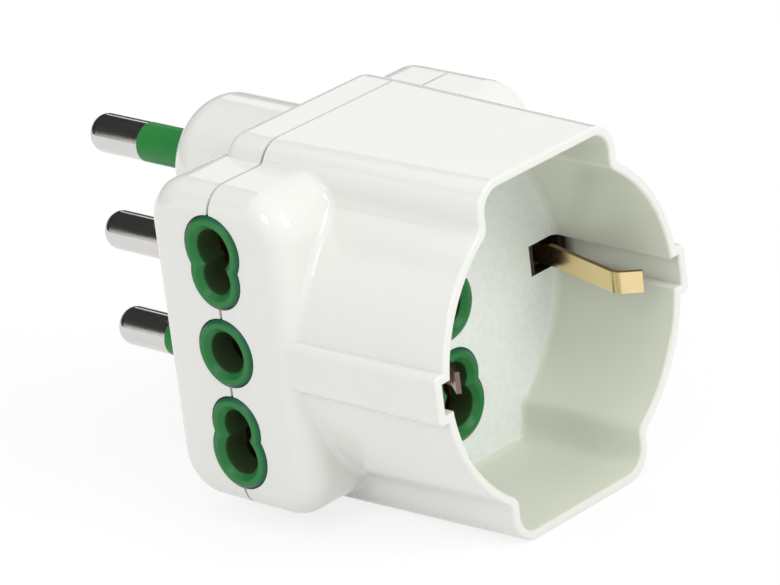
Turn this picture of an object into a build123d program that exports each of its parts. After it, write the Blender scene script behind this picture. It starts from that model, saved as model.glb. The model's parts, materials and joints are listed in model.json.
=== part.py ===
# Multi socket adapter: a three pin plug that carries two side sockets and one front socket.
# Millimetres. +Z is up, the plug pins point along +Y and the front socket faces -Y.
# The origin lies on the earth pin's axis, in the plug face. A depth is the distance from the
# plug face towards the front socket, so a point at depth d has y = -d.

import os
from math import hypot, radians, sqrt, tan

from build123d import *

# Plug pins
pin_pitch = 13.0            # from the earth pin to each live pin
pin_d = 5.0
pin_reach = 19.0            # length outside the plug face
pin_tip_round = 1.7
sleeve_reach = 10.0         # insulated length outside the plug face
sleeve_root = 3.0           # insulated length inside the plug
sleeve_wall = 0.6
waist_step = 0.3            # how much the pins narrow inside the plug's end wall
flange_d = 7.0              # collar that seats on the inside of the plug's end wall
flange_t = 0.8
stub_d = 3.0                # riveted stub that holds the bar
rivet_d = 4.6
rivet_t = 0.9

# Socket openings
small_pitch = 9.5           # from the earth hole to the holes for the smaller plug
small_pin_d = 4.0
hole_d = 5.2
small_hole_d = 4.3
lobe_d = 8.6                # collar round each large hole
small_lobe_d = 7.7
earth_lobe_d = 8.5
mouth = 0.65                # countersink of each hole
collar_edge = 0.45          # bevel round each collar
collar_rise = 0.4           # collars stand proud of the wall
insert_plate_t = 1.8
insert_plate_w = 12.4
insert_plate_round = 2.0

# Housing, from the plug face to the rim
end_wall = 10.4             # thickness that holds the pins
seam_depth = 22.7           # parting plane of the two shells
wing_back = 11.0            # wings behind the seam
wing_fore = 11.5            # wings in front of the seam
lip_depth = 6.8             # shoulder behind the seam
floor_rise = 3.0            # recess floor in front of the wings
recess_depth = 18.4
floor_t = 2.0
floor_round = 0.9           # soft corner round the recess floor
shell_wall = 1.8
seam_gap = 0.4
tongue_t = 0.8              # lip of the rear shell that bridges the seam
tongue_h = 1.5

# Housing, across the plug axis
recess_r = 19.8
bay_half_w = 10.9           # flat-ended bays above and below the round recess
bay_rise = 1.6              # bays beyond the round recess
bay_round = 2.6
bay_root = 1.6              # hollow corner between a bay and the round recess
rim_wall = 1.2
rim_round = 0.35
box_draft = 2.0             # degrees
groove_deep = 1.3           # side grooves behind the earth clips
groove_w = 3.8
rib_round = 0.8             # soft edges of the ribs outside the grooves
rib_step = 0.1              # how far the ribs start inside the wing's side face
side_step = 0.55            # wing's side face outside the rib's end
socket_margin = 3.0         # wing above and below the collars
wing_corner = 5.6
wing_edge = 3.2
plug_r = 8.4                # rounded ends of the plug part
plug_edge = 4.6
plug_root = 1.6             # hollow corner between the plug part and the wings
lip_edge = 2.2
valley_round = 1.0          # hollow corner between the wings and the front box

# Metal inside
strip_t = 0.8
strip_w = 6.0
leaf_t = 0.5
grip = 0.2                  # how much narrower a contact is than its pin
contact_len = 9.5
leaf_over = 1.3             # leaf length past the small hole's axis

# Earth clips
clip_t = 0.6
clip_w = 2.7
clip_inset = 1.8            # clip inside the round recess where it leaves its slot
clip_seat = 3.6             # length of the foot on the earth bar
clip_foot = 3.6
clip_rise = 0.8             # straight length above the recess floor
clip_run = 13.0             # from there to the bow's innermost point
clip_bow = 3.3              # how far the bow stands inwards
clip_tail = 2.6             # the end turns back over this length
clip_lift = 1.9
clip_bend = 2.0
slot_w = 4.75               # slots in the recess floor for the clips

# Closing screws
screw_inset = 4.75          # screw axis inside the back of the side inserts
screw_d = 2.2
screw_len = 12.0
screw_head_d = 4.2
screw_head_t = 1.5
screw_sink = 1.0            # head below the rear face
cross_w = 0.7               # cross slot in the head
cross_len = 3.2
cross_deep = 0.75
screw_boss_d = 6.4
screw_boss_t = 1.8
post_gap = 0.25             # between a screw post and the metal beside it

fit = 0.05                  # clearance round a piece in its hole
cut_fit = 0.12              # clearance round a collar or a screw head in its wall

# Places worked out from the sizes above
wing_rear = seam_depth - wing_back
wing_front = seam_depth + wing_fore
lip_rear = seam_depth - lip_depth
floor_depth = wing_front + floor_rise
floor_back = floor_depth - floor_t
rim_depth = floor_depth + recess_depth
bay_top = round(recess_r + bay_rise, 6)
half_w = recess_r + groove_deep + rim_wall + side_step
half_h = pin_pitch + lobe_d / 2 + socket_margin
cavity_half_w = half_w - shell_wall
cavity_half_h = half_h - shell_wall
box_half_h = bay_top + rim_wall
box_spread = (rim_depth - seam_depth) * tan(radians(box_draft))
insert_back_x = cavity_half_w - insert_plate_t
insert_back_depth = floor_back - insert_plate_t
waist_d = pin_d - 2 * waist_step
tab_rear = end_wall + flange_t
tab_front = tab_rear + strip_t
bar_gap = hole_d / 2 + leaf_t
live_bar_z = pin_pitch + bar_gap
earth_bar_z = -bar_gap
leaf_tip_z = small_pitch - leaf_over
clip_x = recess_r - clip_inset
clip_rear = insert_back_depth - clip_seat
screw_seat = wing_rear + screw_sink + screw_head_t
post_rear = screw_seat + screw_boss_t
post_low = bar_gap + strip_t + post_gap
post_high = leaf_tip_z - post_gap
post_d = post_high - post_low
screw_x = insert_back_x - screw_inset
screw_z = (post_high + post_low) / 2
screw_places = [(-screw_x, screw_z), (screw_x, -screw_z)]


def across(depth):
    # Plane across the plug axis: local x and y are X and Z, the normal points to the front.
    return Plane.XZ.offset(depth)


def prism(outline, start, end):
    return extrude(across(start) * outline, amount=end - start)


def rod(diameter, start, end, x=0, z=0):
    return prism(Pos(x, z) * Circle(diameter / 2), start, end)


def block(x_range, depth_range, z_range):
    # Plain box between two corners.
    sizes = [high - low for low, high in (x_range, depth_range, z_range)]
    centre = [(low + high) / 2 for low, high in (x_range, depth_range, z_range)]
    return Pos(centre[0], -centre[1], centre[2]) * Box(*sizes)


def flip(shape):
    # The same shape on the other side of the horizontal middle plane.
    return mirror(shape, about=Plane.XY)


def swap(shape):
    # The same shape on the other side of the vertical middle plane.
    return mirror(shape, about=Plane.YZ)


def turn(shape):
    # The same shape half a turn round the plug axis.
    return Rot(0, 180, 0) * shape


# Plug pins and their sleeves

def ring(outer_d, inner_d, start, end, z):
    return prism(Pos(0, z) * (Circle(outer_d / 2) - Circle(inner_d / 2)), start, end)


def plug_pin(z):
    # Round pin, narrower in the plug's end wall, with a collar behind it and a riveted end.
    shank = rod(pin_d, -pin_reach, 0, z=z)
    shank = fillet(shank.edges().sort_by(Axis.Y)[-1], pin_tip_round)
    pin = shank + rod(waist_d, 0, end_wall, z=z)
    pin += rod(flange_d, end_wall, tab_rear, z=z)
    pin += rod(stub_d, tab_rear, tab_front, z=z)
    return pin + rod(rivet_d, tab_front, tab_front + rivet_t, z=z)


def insulated_pin(z):
    neck_d = pin_d - 2 * sleeve_wall - 2 * fit
    return plug_pin(z) - ring(2 * pin_d, neck_d, -sleeve_reach, sleeve_root, z)


def pin_sleeve(z):
    inner_d = pin_d - 2 * sleeve_wall
    return ring(pin_d, inner_d, -sleeve_reach, 0, z) + ring(waist_d, inner_d, 0, sleeve_root, z)


# Socket inserts, drawn flat with the open side up and the wall's inner face at z = 0

lobes = [(0, earth_lobe_d, hole_d)]
for side in (-1, 1):
    lobes += [(side * pin_pitch, lobe_d, hole_d), (side * small_pitch, small_lobe_d, small_hole_d)]


def collar_outline(clearance):
    return Sketch() + [Pos(0, z) * Circle(outer_d / 2 + clearance) for z, outer_d, _ in lobes]


def socket_insert(wall):
    top = wall + collar_rise
    plate = RectangleRounded(insert_plate_w, 2 * (cavity_half_h - fit), insert_plate_round)
    insert = extrude(plate, -insert_plate_t)
    straight = top - collar_edge
    for z, outer_d, _ in lobes:
        insert += Pos(0, z, straight / 2) * Cylinder(outer_d / 2, straight)
        bevel = Cone(outer_d / 2, outer_d / 2 - collar_edge, collar_edge)
        insert += Pos(0, z, top - collar_edge / 2) * bevel
    for z, _, inner_d in lobes:
        insert -= Pos(0, z, 0) * Cylinder(inner_d / 2, 2 * (top + insert_plate_t))
        countersink = Cone(inner_d / 2, inner_d / 2 + mouth, mouth)
        insert -= Pos(0, z, top - mouth / 2) * countersink
    return insert


left_wall = Plane((-cavity_half_w, -seam_depth, 0), x_dir=(0, -1, 0), z_dir=(-1, 0, 0))
front_wall = across(floor_back)


# Housing

def recess_outline():
    # Round recess with a flat-ended bay above and below.
    outline = Circle(recess_r) + RectangleRounded(2 * bay_half_w, 2 * bay_top, bay_round)
    return soft_corners(outline, recess_r)


def soft_corners(outline, radius):
    # Rounds the hollow corners where the bays leave the circle.
    corners = [v for v in outline.vertices() if abs(hypot(v.X, v.Y) - radius) < fit]
    return fillet(corners, bay_root)


def groove_outline():
    return Rectangle(2 * (recess_r + groove_deep), groove_w)


def wing_block(inset):
    # Block of both wings, or the hollow in it.
    length = wing_front - wing_rear - 2 * inset
    profile = RectangleRounded(length, 2 * (half_h - inset), wing_corner - inset)
    middle = (wing_front + wing_rear) / 2
    side_plane = Plane((0, -middle, 0), x_dir=(0, -1, 0), z_dir=(-1, 0, 0))
    return extrude(side_plane * profile, amount=half_w - inset, both=True)


def wings():
    body = wing_block(0)
    sides = body.faces().sort_by(Axis.X)
    return fillet(sides[0].edges() + sides[-1].edges(), wing_edge)


def round_outline(spread):
    return Circle(recess_r + rim_wall + spread)


def bay_outline(spread):
    # The corner leaves room for the hollow corner where the bay's side meets the circle.
    half = bay_half_w + rim_wall + spread
    foot = sqrt((recess_r + rim_wall + spread) ** 2 - half ** 2)
    corner = min(bay_round + rim_wall + spread, box_half_h - foot - bay_root)
    return RectangleRounded(2 * half, 2 * box_half_h, corner)


def drafted(outline):
    # Ruled body from the outline at the seam to the smaller outline at the rim.
    return loft([across(seam_depth) * outline(box_spread), across(rim_depth) * outline(0)], ruled=True)


def box_corner(edge):
    # True for the edges where the bays leave the round part of the box.
    middle = edge @ 0.5
    radius = recess_r + rim_wall + box_spread / 2
    return abs(middle.Z) > bay_half_w and abs(hypot(middle.X, middle.Z) - radius) < fit


def rib():
    # Bar across the box that stands out behind both clip grooves.
    high = groove_w + 2 * rim_wall
    root = across(seam_depth) * Rectangle(2 * (half_w - rib_step), high)
    tip = across(rim_depth) * Rectangle(2 * (recess_r + groove_deep + rim_wall), high)
    bar = loft([root, tip], ruled=True)
    return fillet([e for e in bar.edges() if e.bounding_box().size.Y > recess_depth], rib_round)


def front_box():
    box = drafted(round_outline) + drafted(bay_outline)
    return fillet([e for e in box.edges() if box_corner(e)], bay_root)


def plug_outline(radius):
    # Straight sides and round ends about the live pins.
    return SlotCenterToCenter(2 * pin_pitch, 2 * radius, rotation=90)


def joined(first, second, start, end, radius):
    # Joins two bodies and softens the hollow edges where they meet between two depths.
    whole = first + second
    old = first.edges() + second.edges()
    meeting = []
    for edge in whole.edges():
        middle = edge @ 0.5
        if start < -middle.Y < end and min(e.distance_to(middle) for e in old) > fit:
            meeting.append(edge)
    return fillet(meeting, radius)


def plug_and_wings():
    plug = prism(plug_outline(plug_r), 0, seam_depth)
    plug = fillet(plug.faces().sort_by(Axis.Y)[-1].edges(), plug_edge)
    return joined(wings(), plug, wing_rear - fit, seam_depth - fit, plug_root)


def shoulder():
    # Rear end of the box, rounded off behind the seam.
    outline = round_outline(box_spread) + bay_outline(box_spread)
    outline = soft_corners(outline, recess_r + rim_wall + box_spread)
    body = prism(outline, lip_rear, seam_depth)
    return fillet(body.faces().sort_by(Axis.Y)[-1].edges(), lip_edge)


def tongue(clearance):
    # Inner lip that closes the seam between the shells.
    opening = Rectangle(2 * cavity_half_w, 2 * cavity_half_h) + recess_outline()
    band = offset(opening, tongue_t + clearance) - opening
    return prism(band, seam_depth - seam_gap, seam_depth + tongue_h + clearance)


def side_cuts():
    cut = left_wall * extrude(collar_outline(cut_fit), 2 * shell_wall)
    return cut + swap(cut)


def slab(start, end):
    # Everything between two depths.
    return block((-2 * half_w, 2 * half_w), (start, end), (-2 * half_h, 2 * half_h))


def rear_shell():
    body = (plug_and_wings() + shoulder()) & slab(0, seam_depth - seam_gap / 2)
    body -= wing_block(shell_wall)
    body -= prism(plug_outline(plug_r - shell_wall), end_wall, seam_depth)
    body -= prism(recess_outline(), lip_rear + shell_wall, seam_depth)
    for z in (-pin_pitch, 0, pin_pitch):
        body -= rod(waist_d + 2 * fit, 0, end_wall, z=z)
    for x, z in screw_places:
        body += rod(screw_boss_d, wing_rear + shell_wall, post_rear, x, z)
        body -= rod(screw_head_d + 2 * cut_fit, wing_rear, screw_seat, x, z)
        body -= rod(screw_d + 2 * fit, screw_seat, post_rear, x, z)
    return body + tongue(0) - side_cuts()


def recess():
    # Hollow of the front socket, with a soft corner round its floor.
    body = prism(recess_outline(), floor_depth, rim_depth)
    body = fillet(body.faces().sort_by(Axis.Y)[-1].edges(), floor_round)
    return body + prism(groove_outline(), floor_depth, rim_depth)


def front_shell():
    body = joined(wings(), front_box(), seam_depth + fit, rim_depth, valley_round) + rib()
    body = body & slab(seam_depth + seam_gap / 2, rim_depth)
    body -= wing_block(shell_wall)
    body -= prism(recess_outline(), seam_depth, floor_back)
    body -= recess()
    body = fillet(body.faces().sort_by(Axis.Y)[0].edges(), rim_round)
    body -= front_wall * extrude(collar_outline(cut_fit), 2 * floor_t)
    slot_x = (clip_x - slot_w / 2, clip_x + slot_w / 2)
    slot = block(slot_x, (floor_back, floor_depth), (-groove_w / 2, groove_w / 2))
    body -= slot + swap(slot)
    for x, z in screw_places:
        body += rod(post_d, post_rear, floor_back, x, z)
        body -= rod(screw_d + 2 * fit, post_rear, screw_seat + screw_len + fit, x, z)
    return body - tongue(fit) - side_cuts()


# Bars and contacts

def channel(base_z, tip_z, base_gap, tip_gap):
    # Section of a folded spring strip: two leaves that stand on a base.
    turn = leaf_t if tip_z > base_z else -leaf_t
    base, tip = base_gap / 2, tip_gap / 2
    outer = [(-base - leaf_t, base_z), (base + leaf_t, base_z), (tip + leaf_t, tip_z), (-tip - leaf_t, tip_z)]
    inner = [(-base, base_z + turn), (base, base_z + turn), (tip, tip_z), (-tip, tip_z)]
    return make_face(Polyline(outer, close=True)) - make_face(Polyline(inner, close=True))


def live_section():
    # The leaves close in towards the smaller hole, so that they grip either pin.
    lean = (pin_d - small_pin_d) / (pin_pitch - small_pitch)
    base_gap = pin_d - grip + lean * (live_bar_z - leaf_t - pin_pitch)
    tip_gap = small_pin_d - grip - lean * leaf_over
    return channel(live_bar_z, leaf_tip_z, base_gap, tip_gap)


def earth_section():
    return channel(earth_bar_z, pin_d / 2, pin_d - grip + leaf_t, pin_d - grip)


def side_contact(section):
    plane = Plane((-insert_back_x, -seam_depth, 0), x_dir=(0, -1, 0), z_dir=(-1, 0, 0))
    return extrude(plane * section, amount=-contact_len)


def front_contact(section):
    return prism(section, insert_back_depth - contact_len, insert_back_depth)


def bar_plate(z_low, front_end):
    # Flat cross strip that joins the pin to the side and front contacts.
    half = strip_w / 2
    z_range = (z_low, z_low + strip_t)
    plate = block((-insert_back_x, insert_back_x), (seam_depth - half, seam_depth + half), z_range)
    return plate + block((-half, half), (tab_rear, front_end), z_range)


def live_bar():
    tab_z = (pin_pitch - strip_w / 2, live_bar_z + strip_t)
    bar = bar_plate(live_bar_z, insert_back_depth)
    bar += block((-strip_w / 2, strip_w / 2), (tab_rear, tab_front), tab_z)
    return bar - rod(stub_d, tab_rear, tab_front, z=pin_pitch)


def earth_bar():
    low = earth_bar_z - strip_t
    bar = bar_plate(low, insert_back_depth)
    seat_x = clip_x + clip_t / 2
    bar += block((-seat_x, seat_x), (clip_rear, insert_back_depth), (low, earth_bar_z))
    bar += block((-strip_w / 2, strip_w / 2), (tab_rear, tab_front), (low, strip_w / 2))
    return bar - rod(stub_d, tab_rear, tab_front)


def earth_clip():
    # Bowed strip of the right side: a foot on the earth bar, then out through its slot.
    outer_x = clip_x + clip_t / 2
    turn_y = -floor_depth - clip_rise
    path = FilletPolyline(
        (clip_x, -clip_rear),
        (clip_x, turn_y),
        (clip_x - clip_bow, turn_y - clip_run),
        (clip_x - clip_bow + clip_lift, turn_y - clip_run - clip_tail),
        radius=clip_bend,
    )
    strip = trace(path, line_width=clip_t)
    clip = Pos(0, 0, -clip_w / 2) * extrude(strip, clip_w)
    seat = (clip_rear, insert_back_depth)
    clip += block((clip_x - clip_t / 2, outer_x), seat, (earth_bar_z, clip_w / 2))
    return clip + block((outer_x - clip_foot, outer_x), seat, (earth_bar_z, earth_bar_z + clip_t))


def closing_screw(x, z):
    top = screw_seat - screw_head_t
    head = rod(screw_head_d, top, screw_seat, x, z)
    for wide, high in ((cross_w, cross_len), (cross_len, cross_w)):
        head -= prism(Pos(x, z) * Rectangle(wide, high), top, top + cross_deep)
    return head + rod(screw_d, screw_seat, screw_seat + screw_len, x, z)


def adapter():
    left_insert = left_wall * socket_insert(shell_wall)
    left_live = side_contact(live_section())
    left_earth = side_contact(earth_section())
    front_live = front_contact(live_section())
    right_clip = earth_clip()
    return {
        "rear_shell": rear_shell(),
        "front_shell": front_shell(),
        "left_socket_insert": left_insert,
        "right_socket_insert": turn(left_insert),
        "front_socket_insert": front_wall * socket_insert(floor_t),
        "phase_pin": insulated_pin(pin_pitch),
        "neutral_pin": insulated_pin(-pin_pitch),
        "earth_pin": plug_pin(0),
        "phase_pin_sleeve": pin_sleeve(pin_pitch),
        "neutral_pin_sleeve": pin_sleeve(-pin_pitch),
        "phase_bar": live_bar(),
        "neutral_bar": flip(live_bar()),
        "earth_bar": earth_bar(),
        "left_phase_contact": left_live,
        "right_phase_contact": swap(left_live),
        "front_phase_contact": front_live,
        "left_neutral_contact": flip(left_live),
        "right_neutral_contact": turn(left_live),
        "front_neutral_contact": flip(front_live),
        "left_earth_contact": left_earth,
        "right_earth_contact": swap(left_earth),
        "front_earth_contact": front_contact(earth_section()),
        "left_earth_clip": swap(right_clip),
        "right_earth_clip": right_clip,
        "closing_screws": Compound([closing_screw(x, z) for x, z in screw_places]),
    }


os.makedirs("parts", exist_ok=True)
for name, shape in adapter().items():
    export_step(shape, f"parts/{name}.step")
    print(name, round(shape.volume, 1))
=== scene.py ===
import json
import math
import bpy
from mathutils import Matrix, Vector


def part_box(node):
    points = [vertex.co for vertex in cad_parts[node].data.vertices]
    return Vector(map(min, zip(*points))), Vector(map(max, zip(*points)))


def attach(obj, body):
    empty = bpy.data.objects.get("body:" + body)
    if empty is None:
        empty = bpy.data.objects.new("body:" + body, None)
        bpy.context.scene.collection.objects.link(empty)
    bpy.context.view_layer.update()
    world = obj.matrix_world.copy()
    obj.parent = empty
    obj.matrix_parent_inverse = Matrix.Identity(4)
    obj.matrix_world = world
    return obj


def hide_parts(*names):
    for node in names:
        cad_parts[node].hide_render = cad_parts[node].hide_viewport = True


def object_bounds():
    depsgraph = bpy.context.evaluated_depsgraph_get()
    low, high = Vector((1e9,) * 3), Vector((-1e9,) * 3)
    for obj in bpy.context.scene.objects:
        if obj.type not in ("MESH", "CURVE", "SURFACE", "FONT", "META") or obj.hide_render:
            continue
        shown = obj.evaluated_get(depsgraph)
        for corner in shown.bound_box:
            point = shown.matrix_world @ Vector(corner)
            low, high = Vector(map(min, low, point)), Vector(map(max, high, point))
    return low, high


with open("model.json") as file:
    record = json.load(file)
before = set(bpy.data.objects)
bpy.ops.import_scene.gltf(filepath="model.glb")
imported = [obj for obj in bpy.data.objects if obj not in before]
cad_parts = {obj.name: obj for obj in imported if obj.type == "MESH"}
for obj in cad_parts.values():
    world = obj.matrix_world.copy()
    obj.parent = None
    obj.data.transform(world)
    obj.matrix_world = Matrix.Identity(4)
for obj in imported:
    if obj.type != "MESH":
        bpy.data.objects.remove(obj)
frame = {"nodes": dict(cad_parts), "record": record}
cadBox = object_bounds()
nodes = frame["nodes"]
mounts = {mount["name"]: mount for mount in frame["record"]["mounts"]}
scene = bpy.context.scene
print("frame loaded:", len(nodes), "pieces")


class Wire:
    # a socket that can stand in a sum: each operator adds one Math node
    def __init__(self, bench, socket):
        self.bench = bench
        self.socket = socket

    def maths(self, operation, first, second=0.0):
        return self.bench.add("ShaderNodeMath", {"operation": operation}, {0: first, 1: second})

    def __add__(self, other):
        return self.maths("ADD", self, other)

    def __radd__(self, other):
        return self.maths("ADD", other, self)

    def __sub__(self, other):
        return self.maths("SUBTRACT", self, other)

    def __rsub__(self, other):
        return self.maths("SUBTRACT", other, self)

    def __mul__(self, other):
        return self.maths("MULTIPLY", self, other)

    def __rmul__(self, other):
        return self.maths("MULTIPLY", other, self)

    def __truediv__(self, other):
        return self.maths("DIVIDE", self, other)

    def __rtruediv__(self, other):
        return self.maths("DIVIDE", other, self)

    def __pow__(self, other):
        return self.maths("POWER", self, other)

    def __rpow__(self, other):
        return self.maths("POWER", other, self)

    def __lt__(self, other):
        return self.maths("LESS_THAN", self, other)

    def __gt__(self, other):
        return self.maths("GREATER_THAN", self, other)

    def __abs__(self):
        return self.maths("ABSOLUTE", self)

    def least(self, other):
        return self.maths("MINIMUM", self, other)

    def most(self, other):
        return self.maths("MAXIMUM", self, other)

    def rise(self, low, high):
        # 0 at low, 1 at high, and level beyond them
        sockets = {"Value": self, "From Min": low, "From Max": high}
        return self.bench.add("ShaderNodeMapRange", None, sockets)

    def part(self, letter):
        return self.bench.add("ShaderNodeSeparateXYZ", None, {0: self}, letter)


class Bench:
    # one node tree, with a single method that makes any node
    def __init__(self, tree):
        self.tree = tree

    def add(self, kind, settings=None, sockets=None, output=0):
        made = self.tree.nodes.new(kind)
        for name, value in (settings or {}).items():
            setattr(made, name, value)
        for name, value in (sockets or {}).items():
            self.feed(made.inputs[name], value)
        return Wire(self, made.outputs[output]) if made.outputs else made

    def feed(self, socket, value):
        if isinstance(value, Wire):
            self.tree.links.new(value.socket, socket)
        else:
            socket.default_value = value

    def noise(self, place, scale, detail=2.0, roughness=0.5):
        sockets = {"Vector": place, "Scale": scale, "Detail": detail, "Roughness": roughness}
        return self.add("ShaderNodeTexNoise", None, sockets)

    def stretched(self, place, scale):
        return self.add("ShaderNodeMapping", None, {"Vector": place, "Scale": scale})

    def blend(self, factor, first, second):
        return self.add("ShaderNodeMix", {"data_type": "RGBA"}, {0: factor, 6: first, 7: second}, 2)

    def bump(self, height):
        return self.add("ShaderNodeBump", None, {"Height": height, "Distance": 1.0})


class Finish(Bench):
    # a material: its tree, its shader and the two places that patterns start from
    def __init__(self, name, **shader):
        self.material = bpy.data.materials.new(name)
        self.material.use_nodes = True
        super().__init__(self.material.node_tree)
        self.shader = self.tree.nodes["Principled BSDF"]
        self.shade(**shader)
        self.place = self.add("ShaderNodeTexCoord", None, None, "Object")
        self.facing = self.add("ShaderNodeNewGeometry", None, None, "Normal")

    def shade(self, **values):
        for socket, value in values.items():
            self.feed(self.shader.inputs[socket.replace("_", " ")], value)


def dress(names, finish):
    for name in names:
        nodes[name].data.materials.clear()
        nodes[name].data.materials.append(finish.material)


# White housing: glossy moulded shells, a matt spark-eroded floor in the front recess, painted light on
# that floor, and painted shade on the recess walls and down the clip slots
shellLook = {
    "colour": (0.81, 0.81, 0.775, 1),
    "clouded": (0.785, 0.788, 0.748, 1),    # faint tint where the melt ran together
    "cloudScale": 90,
    "wallShadeColour": (0.75, 0.775, 0.675, 1),  # painted shade, olive, on the inner walls of the recess
    "wallTurn": (0.002, 0.008),             # from level with the axis to facing it
    # lighter and greener than the shell: painted light, with a green cast from the liners, on the
    # recess floor
    "floorLitColour": (0.87, 0.91, 0.875, 1),
    "floorFleck": (0.82, 0.86, 0.83, 1),
    "fleckSpan": (0.35, 0.65),
    "gloss": 0.11,
    "glossSpread": 0.04,
    "wallGloss": 0.25,
    "floorGloss": 0.5,
    "peel": 0.000010,                       # height of the orange peel, metres
    "peelScale": 900,
    "grain": 0.00004,                       # height of the floor's grain
    "grainScale": 1300,
    "floorDepth": 0.0372,                   # metres from the plug face to the recess floor
    "floorBand": 0.0003,
    "floorFacing": (0.85, 0.95),
    "slotShade": (0.035, 0.022, 0.016, 1),  # painted shade, dark brown, down the slots of the earth clips
    "slotSpan": (0.015, 0.0212),            # metres from the middle
    "slotHalf": 0.00195,
    "slotFade": (0.0002, 0.002),            # in front of the recess floor
    "slotRear": 0.013,                      # behind this depth the rear wall begins
}


def whiteShell(look):
    finish = Finish("white_shell", IOR=1.5)
    place, facing = finish.place, finish.facing
    clouds = finish.noise(place, look["cloudScale"], 3, 0.55)
    peel = finish.noise(place, look["peelScale"], 2, 0.5)
    grain = finish.noise(place, look["grainScale"], 4, 0.6)
    depth = 0 - place.part("Y")
    floor = (0 - facing.part("Y")).rise(*look["floorFacing"])
    floor = floor * (abs(depth - look["floorDepth"]) < look["floorBand"])
    outward = facing.part("X") * place.part("X") + facing.part("Z") * place.part("Z")
    # the recess's inner walls, which take painted shade and their own gloss
    wall = (0 - outward).rise(*look["wallTurn"]) * (depth > look["floorDepth"])
    outside = finish.blend(clouds, look["colour"], look["clouded"])
    fleck = finish.blend(grain.rise(*look["fleckSpan"]), look["floorLitColour"], look["floorFleck"])
    aside = abs(place.part("X"))
    # painted shade down the earth clips' slots, fading out in front of the recess floor
    slot = (abs(place.part("Z")) < look["slotHalf"]) * (depth > look["slotRear"])
    slot = slot * (aside > look["slotSpan"][0]) * (aside < look["slotSpan"][1])
    slot = slot * (1 - (depth - look["floorDepth"]).rise(*look["slotFade"]))
    colour = finish.blend(floor, finish.blend(wall, outside, look["wallShadeColour"]), fleck)
    colour = finish.blend(slot, colour, look["slotShade"])
    gloss = look["gloss"] + look["glossSpread"] * (clouds - 0.5)
    gloss = gloss + wall * (look["wallGloss"] - look["gloss"])
    gloss = gloss + floor * (look["floorGloss"] - gloss)
    height = peel * look["peel"] * (1 - floor) + grain * look["grain"] * floor
    finish.shade(Base_Color=colour, Roughness=gloss, Normal=finish.bump(height))
    return finish


dress(["rear_shell", "front_shell"], whiteShell(shellLook))

# Green insulation: satin moulded socket liners, with painted shade on the collars' bevels and down the
# holes
greenLook = {
    "colour": (0.024, 0.205, 0.047, 1),
    "streak": (0.018, 0.172, 0.042, 1),     # where the melt flowed round the holes
    "flowScale": 260,
    "edge": (0.010, 0.100, 0.055, 1),       # painted shade, bluish, on the bevel round each collar
    "boreShade": (0.042, 0.075, 0.028, 1),       # painted shade, brown-green, down the holes
    "sheen": 0.25,
    "gloss": 0.32,
    "glossSpread": 0.12,
    "boreDull": 0.3,                        # how much rougher the holes are
    "boreFade": (0.6, 1.8),                 # where the shade starts and is full, in mouths
    "grain": 0.000008,
    "grainScale": 1500,
    "smallPitch": 0.0095,                   # from the earth hole to the small holes, metres
    "smallHole": 0.00215,
    "collars": {"earth": 0.00425, "live": 0.0043, "small": 0.00385},
    "bevel": 0.00045,
    "bevelTop": 0.3,                        # share of the bevel where its painted shade is full
    "mouth": 0.00065,                       # countersink of each hole
}


def socketLiner(name, look, across, below):
    # across gives the distance beside the row of holes, below the depth under the collars' top
    finish = Finish(name, IOR=1.5, Specular_IOR_Level=look["sheen"])
    pitch = mounts["front_phase_hole"]["pos_m"][2]
    hole = mounts["front_phase_hole"]["dims"]["r_mm"] / 1000
    beside, depth = across(finish.place), below(finish.place)
    height = abs(finish.place.part("Z"))
    rows = [(0, look["collars"]["earth"], hole), (pitch, look["collars"]["live"], hole),
            (look["smallPitch"], look["collars"]["small"], look["smallHole"])]
    collarEdge, holeEdge = None, None
    for centre, outer, inner in rows:
        away = (beside * beside + (height - centre) ** 2) ** 0.5
        collarEdge = away - outer if collarEdge is None else collarEdge.least(away - outer)
        holeEdge = away - inner if holeEdge is None else holeEdge.least(away - inner)
    flow = finish.noise(finish.place, look["flowScale"], 3, 0.6)
    grain = finish.noise(finish.place, look["grainScale"], 2, 0.5)
    top = finish.blend(flow, look["colour"], look["streak"])
    # painted shade on the collars' outer bevels
    bevelled = collarEdge.rise(-look["bevel"], -look["bevelTop"] * look["bevel"])
    fade = [share * look["mouth"] for share in look["boreFade"]]
    # painted shade down each hole, full below the mouth
    boreShadeMask = depth.rise(*fade) * (holeEdge < look["mouth"])
    colour = finish.blend(boreShadeMask, finish.blend(bevelled, top, look["edge"]), look["boreShade"])
    gloss = look["gloss"] + look["glossSpread"] * (flow - 0.5) + look["boreDull"] * boreShadeMask
    finish.shade(Base_Color=colour, Roughness=gloss, Normal=finish.bump(grain * look["grain"]))
    return finish


def sideLiner(look):
    seam = mounts["left_earth_hole"]["pos_m"][1]
    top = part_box("right_socket_insert")[1][0]
    return socketLiner("green_side_liner", look, lambda place: place.part("Y") - seam,
                       lambda place: top - abs(place.part("X")))


def frontLiner(look):
    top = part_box("front_socket_insert")[0][1]
    return socketLiner("green_front_liner", look, lambda place: place.part("X"),
                       lambda place: place.part("Y") - top)


dress(["left_socket_insert", "right_socket_insert"], sideLiner(greenLook))
dress(["front_socket_insert"], frontLiner(greenLook))

# Green pin sleeves: the same plastic, drawn thin and a little brighter
sleeveLook = {
    "colour": (0.022, 0.232, 0.038, 1),
    "streak": (0.018, 0.198, 0.046, 1),
    "flowScale": (500, 120, 500),           # drawn out along the pin
    "root": (0.014, 0.150, 0.062, 1),       # painted shade, darker and cooler, towards the plug face
    "rootReach": 0.0035,
    "sheen": 0.25,
    "gloss": 0.34,
    "glossSpread": 0.14,
    "grain": 0.000006,
    "grainScale": 1500,
}


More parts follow.
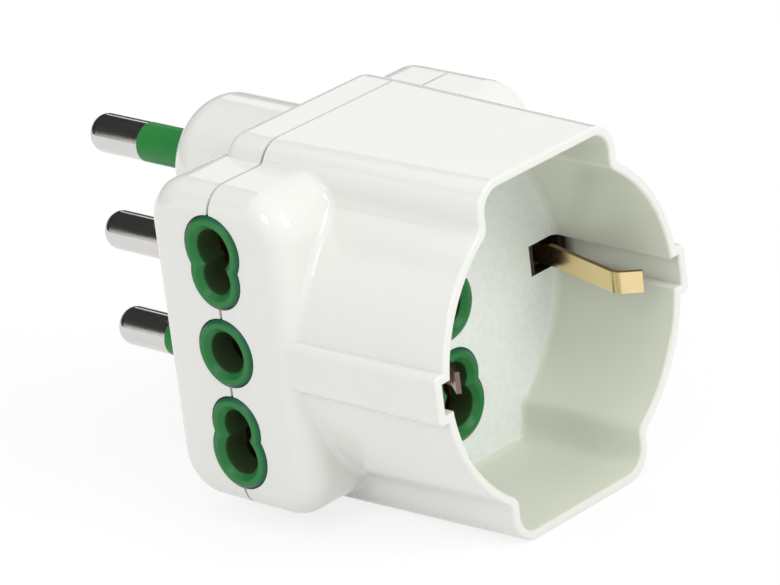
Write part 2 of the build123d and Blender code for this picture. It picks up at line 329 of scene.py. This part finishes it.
def pinSleeve(look):
    finish = Finish("green_sleeve", IOR=1.5, Specular_IOR_Level=look["sheen"])
    flow = finish.noise(finish.stretched(finish.place, look["flowScale"]), 1, 3, 0.6)
    grain = finish.noise(finish.place, look["grainScale"], 2, 0.5)
    # painted shade near the plug face, fading out over rootReach
    root = 1 - finish.place.part("Y").rise(0.0, look["rootReach"])
    skin = finish.blend(flow, look["colour"], look["streak"])
    finish.shade(Base_Color=finish.blend(root, skin, look["root"]),
                 Roughness=look["gloss"] + look["glossSpread"] * (flow - 0.5),
                 Normal=finish.bump(grain * look["grain"]))
    return finish


dress(["phase_pin_sleeve", "neutral_pin_sleeve"], pinSleeve(sleeveLook))

# Nickel plated pins: turned bright, with faint rings and a little wear
pinLook = {
    "colour": (0.72, 0.705, 0.695, 1),
    "worn": (0.63, 0.61, 0.585, 1),
    "wearScale": 420,
    "gloss": 0.11,
    "glossSpread": 0.1,
    "tipGloss": 0.42,                       # domed ends, tumbled dull
    "tipFacing": (0.15, 0.6),
    "rings": 0.0000025,                     # height of the turning rings
    "ringScale": (40, 5200, 40),
}


def platedPin(look):
    finish = Finish("plated_pin", Metallic=1.0)
    turning = finish.noise(finish.stretched(finish.place, look["ringScale"]), 1, 3, 0.6)
    wear = finish.noise(finish.place, look["wearScale"], 4, 0.6)
    tip = finish.facing.part("Y").rise(*look["tipFacing"])
    gloss = look["gloss"] + tip * (look["tipGloss"] - look["gloss"])
    finish.shade(Base_Color=finish.blend(wear, look["colour"], look["worn"]),
                 Roughness=gloss + look["glossSpread"] * (turning + wear - 1),
                 Normal=finish.bump(turning * look["rings"]))
    return finish


dress(["phase_pin", "neutral_pin", "earth_pin"], platedPin(pinLook))

# Rolled brass of the earth clips and of the contacts and bars inside, with painted shade on the clips'
# edges and on their side towards the wall
brassLook = {
    "clip": {"colour": (0.90, 0.72, 0.41, 1), "tarnish": (0.84, 0.64, 0.33, 1), "gloss": 0.24,
             "edgeShadeColour": (0.28, 0.15, 0.06, 1),  # painted shade on the long edges
             "back": (0.24, 0.16, 0.15, 1)},    # painted shade on the side towards the wall
    "contact": {"colour": (0.60, 0.36, 0.20, 1), "tarnish": (0.40, 0.22, 0.12, 1), "gloss": 0.36},
    "lines": 0.000003,                      # height of the rolling lines
    "lineScale": (1800, 60, 1800),
    "lineSpread": 0.12,                     # how much the gloss varies with them
    "stainScale": 330,
    "stainSpread": 0.14,
    "edgeFacing": (0.6, 0.8),
    "backTurn": (0.002, 0.008),
}


def rolledBrass(name, look, part):
    finish = Finish(name, Metallic=1.0)
    rolling = finish.noise(finish.stretched(finish.place, look["lineScale"]), 1, 3, 0.6)
    stain = finish.noise(finish.place, look["stainScale"], 4, 0.6)
    colour = finish.blend(stain, part["colour"], part["tarnish"])
    if "back" in part:
        # painted shade on the clips' long edges
        edge = abs(finish.facing.part("Z")).rise(*look["edgeFacing"])
        # painted shade on the side of each clip that faces the wall
        back = (finish.facing.part("X") * finish.place.part("X")).rise(*look["backTurn"])
        colour = finish.blend(back, finish.blend(edge, colour, part["edgeShadeColour"]), part["back"])
    gloss = part["gloss"] + look["lineSpread"] * (rolling - 0.5)
    gloss = gloss + look["stainSpread"] * (stain - 0.5)
    finish.shade(Base_Color=colour, Roughness=gloss, Normal=finish.bump(rolling * look["lines"]))
    return finish


clips = ["left_earth_clip", "right_earth_clip"]
dress(clips, rolledBrass("clip_brass", brassLook, brassLook["clip"]))
contacts = [name for name in nodes if name.endswith(("_contact", "_bar"))]
dress(contacts, rolledBrass("contact_brass", brassLook, brassLook["contact"]))

# Closing screws: zinc plated pan heads with a tapered cross, and a thread down each shank
screwLook = {
    "colour": (0.62, 0.62, 0.60, 1),
    "bluish": (0.50, 0.53, 0.56, 1),
    "bloomScale": 700,
    "bloomRise": 0.000004,                  # height of the zinc's bloom
    "gloss": 0.3,
    "glossSpread": 0.2,
    "sizes": {                              # metres
        "Head Radius": 0.0021,
        "Head Height": 0.0015,
        "Crest Radius": 0.0011,
        "Root Radius": 0.00085,
        "Shank Length": 0.012,
        "Thread Pitch": 0.0009,
        "Tip Length": 0.0018,
        "Cross Width": 0.0007,
        "Cross Reach": 0.0030,
        "Cross Depth": 0.0009,
    },
    "domed": 0.42,                          # 1 is a round dome, 0 a flat top
    "topShare": 0.8,                        # rows of the head's sheet that make its top
    "tipTaper": 0.7,
    "crossTaper": 0.45,
    "around": 48,
    "along": 160,
    "profile": 24,
    "weld": 0.000002,
    "turn": (0.2, 1.3),                     # least and most turn of a head, radians
    "seed": 4,
    "sharpAngle": 38,                       # degrees
}


def zincScrew(look):
    finish = Finish("screw_steel", Metallic=1.0)
    bloom = finish.noise(finish.place, look["bloomScale"], 4, 0.6)
    finish.shade(Base_Color=finish.blend(bloom, look["colour"], look["bluish"]),
                 Roughness=look["gloss"] + look["glossSpread"] * (bloom - 0.5),
                 Normal=finish.bump(bloom * look["bloomRise"]))
    return finish


def turnedSheet(bench, around, along, weld, shape):
    # a flat grid rolled up: shape gives the radius and the height at each place along it
    grid = {"Size X": 1.0, "Size Y": 1.0, "Vertices X": around + 1, "Vertices Y": along + 1}
    sheet = bench.add("GeometryNodeMeshGrid", None, grid)
    place = bench.add("GeometryNodeInputPosition")
    turn, way = place.part("X") + 0.5, place.part("Y") + 0.5
    radius, height = shape(turn, way)
    angle = turn * (2 * math.pi)
    spot = bench.add("ShaderNodeCombineXYZ", None, {
        "X": radius * angle.maths("COSINE", angle), "Y": height,
        "Z": radius * angle.maths("SINE", angle)})
    rolled = bench.add("GeometryNodeSetPosition", None, {"Geometry": sheet, "Position": spot})
    return bench.add("GeometryNodeMergeByDistance", None, {"Geometry": rolled, "Distance": weld})


def screwTree(look, material):
    tree = bpy.data.node_groups.new("closingScrews", "GeometryNodeTree")
    bench = Bench(tree)
    for name in look["sizes"]:
        tree.interface.new_socket(name, in_out="INPUT", socket_type="NodeSocketFloat")
    for name in ("First Place", "Second Place"):
        tree.interface.new_socket(name, in_out="INPUT", socket_type="NodeSocketVector")
    tree.interface.new_socket("Screws", in_out="OUTPUT", socket_type="NodeSocketGeometry")

    def size(name):
        return bench.add("NodeGroupInput", None, None, name)

    def panHead(turn, way):
        # the top swells out to the rim, then the underside closes to the axis
        lean = way.rise(0.0, look["topShare"]) * (math.pi / 2)
        under = 1 - way.rise(look["topShare"], 1.0)
        radius = size("Head Radius") * (lean.maths("SINE", lean) ** look["domed"]) * under
        return radius, size("Head Height") * (lean.maths("COSINE", lean).most(0.0) ** look["domed"])

    def thread(turn, way):
        # the crest climbs one pitch for each turn, and fades out at the head and the tip
        down = way * size("Shank Length")
        wave = down / size("Thread Pitch") - turn
        ridge = 1 - abs(wave.maths("FRACT", wave) - 0.5) * 2
        left = size("Shank Length") - down
        fade = (down / size("Thread Pitch")).least(1.0) * (left / size("Tip Length")).least(1.0)
        radius = size("Root Radius") + (size("Crest Radius") - size("Root Radius")) * ridge * fade
        return radius * ((left / size("Tip Length")).least(1.0) ** look["tipTaper"]), 0 - down

    def crossBar(long, wide):
        # one arm of the cross, narrower towards its bottom
        deep = size("Cross Depth")
        box = bench.add("ShaderNodeCombineXYZ", None, {"X": wide, "Y": deep * 2, "Z": long})
        bar = bench.add("GeometryNodeMeshCube", None, {"Size": box})
        place = bench.add("GeometryNodeInputPosition")
        narrow = 1 - (place.part("Y") < 0.0) * look["crossTaper"]
        spot = bench.add("ShaderNodeCombineXYZ", None, {
            "X": place.part("X") * narrow, "Y": place.part("Y") + size("Head Height"),
            "Z": place.part("Z") * narrow})
        return bench.add("GeometryNodeSetPosition", None, {"Geometry": bar, "Position": spot})

    head = turnedSheet(bench, look["around"], look["profile"], look["weld"], panHead)
    for long, wide in (("Cross Reach", "Cross Width"), ("Cross Width", "Cross Reach")):
        head = bench.add("GeometryNodeMeshBoolean", {"operation": "DIFFERENCE", "solver": "EXACT"},
                         {"Mesh 1": head, "Mesh 2": crossBar(size(long), size(wide))})
    shank = turnedSheet(bench, look["around"], look["along"], look["weld"], thread)
    screw = bench.add("GeometryNodeJoinGeometry", None, {"Geometry": head})
    bench.tree.links.new(shank.socket, screw.socket.node.inputs["Geometry"])
    row = {"Count": 2, "Start Location": size("First Place"), "Offset": size("Second Place")}
    spots = bench.add("GeometryNodeMeshLine", {"mode": "END_POINTS"}, row)
    spin = bench.add("FunctionNodeRandomValue", {"data_type": "FLOAT"},
                     {"Min": look["turn"][0], "Max": look["turn"][1], "Seed": look["seed"]}, 1)
    turned = bench.add("ShaderNodeCombineXYZ", None, {"Y": spin})
    placed = bench.add("GeometryNodeInstanceOnPoints", None,
                       {"Points": spots, "Instance": screw, "Rotation": turned})
    real = bench.add("GeometryNodeRealizeInstances", None, {"Geometry": placed})
    done = bench.add("GeometryNodeSetMaterial", None, {"Geometry": real, "Material": material})
    bench.add("NodeGroupOutput", None, {"Screws": done})
    return tree


def makeScrews(look):
    low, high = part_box("closing_screws")
    reach = look["sizes"]["Head Radius"]
    seat = high[1] - look["sizes"]["Head Height"]
    places = {"First Place": (low[0] + reach, seat, high[2] - reach),
              "Second Place": (high[0] - reach, seat, low[2] + reach)}
    tree = screwTree(look, zincScrew(look).material)
    maker = bpy.data.objects.new("screw_maker", bpy.data.meshes.new("screw_maker"))
    scene.collection.objects.link(maker)
    modifier = maker.modifiers.new("screws", "NODES")
    modifier.node_group = tree
    values = {**look["sizes"], **places}
    for item in tree.interface.items_tree:
        if item.in_out == "INPUT":
            modifier[item.identifier] = values[item.name]
    depsgraph = bpy.context.evaluated_depsgraph_get()
    mesh = bpy.data.meshes.new_from_object(maker.evaluated_get(depsgraph), depsgraph=depsgraph)
    bpy.data.objects.remove(maker)
    mesh.polygons.foreach_set("use_smooth", [True] * len(mesh.polygons))
    mesh.set_sharp_from_angle(angle=math.radians(look["sharpAngle"]))
    screws = bpy.data.objects.new("turned_closing_screws", mesh)
    scene.collection.objects.link(screws)
    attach(screws, "root")
    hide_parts("closing_screws")
    print("closing screws:", len(mesh.polygons), "faces")


makeScrews(screwLook)
print("finishes ready")

photoCamera = {
    "azimuth": -45.02,          # degrees, 0 looks along +Y
    "elevation": 21.97,
    "roll": -7.24,
    "distance": 0.614,          # metres from the target
    "target": (0.00007, -0.02793, -0.00002),
    "focalPixels": 5155,
    "imageWidth": 780,
    "sensor": 36,
    "clipStart": 0.01,
}


def makeCamera(look):
    azimuth = math.radians(look["azimuth"])
    elevation = math.radians(look["elevation"])
    roll = math.radians(look["roll"])
    flat = math.cos(elevation)
    back = Vector((math.sin(azimuth) * flat, -math.cos(azimuth) * flat, math.sin(elevation)))
    right = Vector((math.cos(azimuth), math.sin(azimuth), 0))
    up = back.cross(right)
    rolledRight = right * math.cos(roll) + up * math.sin(roll)
    rolledUp = up * math.cos(roll) - right * math.sin(roll)
    camera = bpy.data.cameras.new("photoCamera")
    camera.sensor_width = look["sensor"]
    camera.lens = look["focalPixels"] * look["sensor"] / look["imageWidth"]
    camera.clip_start = look["clipStart"]
    holder = bpy.data.objects.new("photoCamera", camera)
    turn = Matrix((rolledRight, rolledUp, back)).transposed()
    stand = Matrix.Translation(Vector(look["target"]) + back * look["distance"])
    holder.matrix_world = stand @ turn.to_4x4()
    scene.collection.objects.link(holder)
    scene.camera = holder


makeCamera(photoCamera)
scene.view_settings.view_transform = "Standard"

# White studio: pale floor, bright surround and three soft boxes
studio = {
    "floorSize": 6.0,
    "floorGap": 0.00003,        # keeps the floor clear of the lowest face
    "floorPale": 0.86,          # how much light the floor gives back to the object
    "floorShown": 0.2,          # share of the floor's look that takes the shadow
    "surround": 0.78,
    "lamps": {                  # watts, size and place in metres
        "key": {"watts": 0.8, "size": 0.24, "place": (-0.62, -0.10, 0.47), "mirrored": True},
        "top": {"watts": 0.3, "size": 0.6, "place": (0.05, 0.05, 0.75), "mirrored": False},
        "front": {"watts": 2.6, "size": 0.45, "place": (0.09, -0.72, 0.56), "mirrored": True},
    },
    "aim": (0, -0.03, 0),
}


def seenDirectly(bench):
    # 1 where the camera, a mirror or a glass looks at the background
    seen = 0.0
    for ray in ("Is Camera Ray", "Is Glossy Ray", "Is Transmission Ray"):
        seen = bench.add("ShaderNodeLightPath", None, None, ray) + seen
    return seen > 0.5


def plainPlane(name, corners):
    mesh = bpy.data.meshes.new(name)
    mesh.from_pydata(corners, [], [(0, 1, 2, 3)])
    plane = bpy.data.objects.new(name, mesh)
    scene.collection.objects.link(plane)
    return plane


def makeFloor(look):
    half = look["floorSize"] / 2
    low = cadBox[0][2] - look["floorGap"]
    flat = [(-half, -half), (half, -half), (half, half), (-half, half)]
    plane = plainPlane("floor", [(across, along, low) for across, along in flat])
    material = bpy.data.materials.new("floor")
    material.use_nodes = True
    material.node_tree.nodes.remove(material.node_tree.nodes["Principled BSDF"])
    bench = Bench(material.node_tree)
    shown = look["floorShown"]
    bounce = bench.add("ShaderNodeBsdfDiffuse", None, {"Color": (look["floorPale"],) * 3 + (1,)})
    shadowed = bench.add("ShaderNodeBsdfDiffuse", None, {"Color": (shown,) * 3 + (1,)})
    glow = bench.add("ShaderNodeEmission", None, {"Color": (1, 1, 1, 1), "Strength": 1 - shown})
    pale = bench.add("ShaderNodeAddShader", None, {0: shadowed, 1: glow})
    mixed = bench.add("ShaderNodeMixShader", None, {0: seenDirectly(bench), 1: bounce, 2: pale})
    bench.feed(material.node_tree.nodes["Material Output"].inputs["Surface"], mixed)
    plane.data.materials.append(material)


def makeSurround(look):
    world = bpy.data.worlds.new("studio")
    world.use_nodes = True
    bench = Bench(world.node_tree)
    background = world.node_tree.nodes["Background"]
    background.inputs["Color"].default_value = (1, 1, 1, 1)
    level = look["surround"] + seenDirectly(bench) * (1 - look["surround"])
    bench.feed(background.inputs["Strength"], level)
    scene.world = world


def makeLamps(look):
    for name, box in look["lamps"].items():
        lamp = bpy.data.lights.new(name, "AREA")
        lamp.energy = box["watts"]
        lamp.size = box["size"]
        holder = bpy.data.objects.new(name, lamp)
        holder.location = box["place"]
        holder.visible_glossy = box["mirrored"]
        aim = Vector(look["aim"]) - holder.location
        holder.rotation_euler = aim.to_track_quat("-Z", "Y").to_euler()
        scene.collection.objects.link(holder)


# Dark cards behind: only mirrors see them, so the plated pins get their dark band
cardLook = {
    "back": 0.60,
    "panels": [((-0.60, 0.50), (-0.02, 0.78)), ((0.50, 1.00), (-0.02, 0.25))],  # across and up, metres
    "shade": (0.03, 0.03, 0.03, 1),
}


def makeCards(look):
    material = bpy.data.materials.new("dark_card")
    material.use_nodes = True
    shader = material.node_tree.nodes["Principled BSDF"]
    shader.inputs["Base Color"].default_value = look["shade"]
    shader.inputs["Roughness"].default_value = 1.0
    back = look["back"]
    for number, ((left, right), (low, high)) in enumerate(look["panels"]):
        corners = [(left, back, low), (right, back, low), (right, back, high), (left, back, high)]
        card = plainPlane("dark_card_" + str(number), corners)
        for ray in ("camera", "diffuse", "transmission", "volume_scatter", "shadow"):
            setattr(card, "visible_" + ray, False)
        card.data.materials.append(material)


makeFloor(studio)
makeSurround(studio)
makeLamps(studio)
makeCards(cardLook)
print("studio ready")
